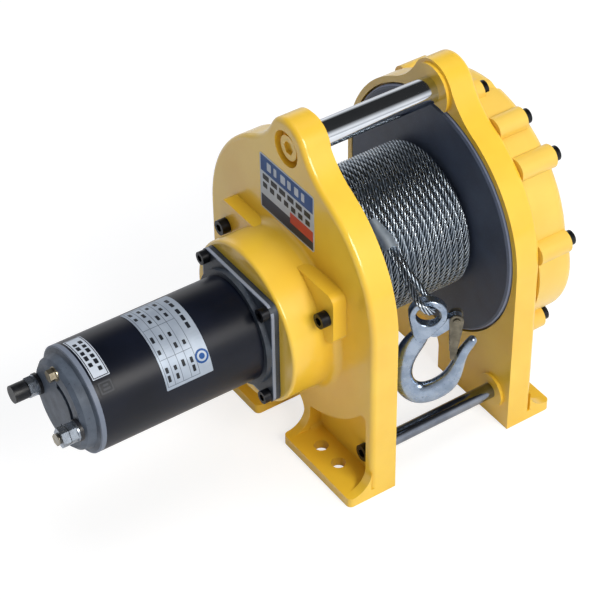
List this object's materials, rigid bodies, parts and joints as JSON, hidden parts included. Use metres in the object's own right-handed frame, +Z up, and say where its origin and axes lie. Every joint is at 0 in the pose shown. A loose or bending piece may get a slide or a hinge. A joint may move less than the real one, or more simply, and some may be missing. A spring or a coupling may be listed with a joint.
{
  "type": "electric winch",
  "caption": "Electric planetary-gear winch: cast side frames, DC motor, rope drum with wound wire rope, gear cover, tie rods and a latched hook.",
  "frame": {"origin": "centre of the foot bolt holes on the mounting plane, below the middle of the rope drum", "axes": "+X along the drum from the motor towards the gear cover, -Y the side the rope leaves, +Z up from the mounting plane"},
  "size_m": [0.3928, 0.2205, 0.2723],
  "materials": {
    "black_enamel": "satin",
    "black_oxide": "satin",
    "bright_steel": "satin",
    "bronze": "satin",
    "carbon": "matte",
    "chrome_bar": "polished",
    "copper_wound": "matte",
    "die_cast": "satin",
    "drum_enamel": "satin",
    "forged_zinc": "satin",
    "galvanised_rope": "satin",
    "gear_steel": "satin",
    "insulator": "matte",
    "lining": "matte",
    "magnet": "matte",
    "sintered_iron": "matte",
    "yellow_enamel": "gloss",
    "yellow_zinc": "satin",
    "zinc_plate": "satin"
  },
  "bodies": {
    "frame": {"left_side_frame": "yellow_enamel", "right_side_frame": "yellow_enamel", "gear_cover": "yellow_enamel", "left_bearing_plate": "sintered_iron", "bearing_plate_bolts": "black_oxide", "upper_tie_rod": "chrome_bar", "lower_tie_rod": "bright_steel", "upper_rod_screws": "yellow_enamel", "lower_rod_screws": "black_oxide", "motor_flange": "black_enamel", "motor_flange_screws": "black_oxide", "motor_tube": "black_enamel", "motor_end_cap": "black_enamel", "motor_through_bolts": "yellow_zinc", "motor_magnets": "magnet", "brush_holder": "insulator", "carbon_brushes": "carbon", "brush_springs": "bright_steel", "terminal_studs": "bright_steel", "terminal_insulators": "insulator", "terminal_washers": "zinc_plate", "terminal_nuts": "zinc_plate", "terminal_cap_nut": "insulator", "rear_motor_bearing": "bronze", "front_motor_bearing": "bronze", "input_shaft_bearing": "bronze", "ring_gear": "gear_steel", "cover_screws": "black_oxide", "left_drum_bush": "bronze", "right_drum_bush": "bronze", "rope_tail": "galvanised_rope", "rope_ferrule": "die_cast"},
    "drum": {"drum_barrel": "drum_enamel", "left_drum_flange": "drum_enamel", "right_drum_flange": "drum_enamel", "wound_rope": "galvanised_rope", "input_shaft_bushes": "bronze", "brake_lining": "lining", "second_planet_carrier": "sintered_iron"},
    "first_carrier": {"first_planet_carrier": "sintered_iron", "second_sun_gear": "gear_steel"},
    "drive_shaft": {"input_shaft": "gear_steel", "input_gear": "gear_steel", "first_sun_gear": "gear_steel", "brake_rotor": "sintered_iron"},
    "armature": {"armature_shaft": "bright_steel", "armature_core": "copper_wound", "commutator": "bronze", "motor_pinion": "gear_steel"},
    "hook": {"hook": "forged_zinc", "latch_pin": "zinc_plate", "latch_spring": "bright_steel"},
    "latch": {"hook_latch": "zinc_plate"},
    "first_planet_1": {"first_planet_gear_1": "gear_steel"},
    "second_planet_1": {"second_planet_gear_1": "gear_steel"},
    "first_planet_2": {"first_planet_gear_2": "gear_steel"},
    "second_planet_2": {"second_planet_gear_2": "gear_steel"},
    "first_planet_3": {"first_planet_gear_3": "gear_steel"},
    "second_planet_3": {"second_planet_gear_3": "gear_steel"}
  },
  "joints": [
    {"name": "drum_turn", "type": "hinge", "parent": "frame", "child": "drum", "pos_m": [0, 0, 0.143], "axis": [1, 0, 0], "continuous": true},
    {"name": "first_carrier_turn", "type": "hinge", "parent": "frame", "child": "first_carrier", "pos_m": [0, 0, 0.143], "axis": [1, 0, 0], "continuous": true},
    {"name": "drive_shaft_turn", "type": "hinge", "parent": "frame", "child": "drive_shaft", "pos_m": [0, 0, 0.143], "axis": [1, 0, 0], "continuous": true},
    {"name": "armature_turn", "type": "hinge", "parent": "frame", "child": "armature", "pos_m": [0, 0, 0.1142], "axis": [1, 0, 0], "continuous": true},
    {"name": "first_planet_1_turn", "type": "hinge", "parent": "first_carrier", "child": "first_planet_1", "pos_m": [0, 0, 0.188], "axis": [1, 0, 0], "continuous": true},
    {"name": "second_planet_1_turn", "type": "hinge", "parent": "drum", "child": "second_planet_1", "pos_m": [0, 0, 0.1925], "axis": [1, 0, 0], "continuous": true},
    {"name": "first_planet_2_turn", "type": "hinge", "parent": "first_carrier", "child": "first_planet_2", "pos_m": [0, -0.03897, 0.1205], "axis": [1, 0, 0], "continuous": true},
    {"name": "second_planet_2_turn", "type": "hinge", "parent": "drum", "child": "second_planet_2", "pos_m": [0, -0.04287, 0.11825], "axis": [1, 0, 0], "continuous": true},
    {"name": "first_planet_3_turn", "type": "hinge", "parent": "first_carrier", "child": "first_planet_3", "pos_m": [0, 0.03897, 0.1205], "axis": [1, 0, 0], "continuous": true},
    {"name": "second_planet_3_turn", "type": "hinge", "parent": "drum", "child": "second_planet_3", "pos_m": [0, 0.04287, 0.11825], "axis": [1, 0, 0], "continuous": true},
    {"name": "hook_swing", "type": "hinge", "parent": "frame", "child": "hook", "pos_m": [-0.02223, -0.09684, 0.1464], "axis": [-0.5556, -0.8315, 0], "range_deg": [-7, 20]},
    {"name": "latch_open", "type": "hinge", "parent": "hook", "child": "latch", "pos_m": [-0.00586, -0.10778, 0.14221], "axis": [-0.5556, -0.8315, 0], "range_deg": [-32, 0], "stiffness_Nm_per_rad": 0.02, "springref_deg": 20.05}
  ],
  "couplings": [
    {"joint": "first_carrier_turn", "follows": "drum_turn", "ratio": 3.6667},
    {"joint": "drive_shaft_turn", "follows": "drum_turn", "ratio": 18.333},
    {"joint": "armature_turn", "follows": "drum_turn", "ratio": -55},
    {"joint": "first_planet_1_turn", "follows": "drum_turn", "ratio": -9.7778},
    {"joint": "second_planet_1_turn", "follows": "drum_turn", "ratio": -3.2},
    {"joint": "first_planet_2_turn", "follows": "drum_turn", "ratio": -9.7778},
    {"joint": "second_planet_2_turn", "follows": "drum_turn", "ratio": -3.2},
    {"joint": "first_planet_3_turn", "follows": "drum_turn", "ratio": -9.7778},
    {"joint": "second_planet_3_turn", "follows": "drum_turn", "ratio": -3.2}
  ]
}
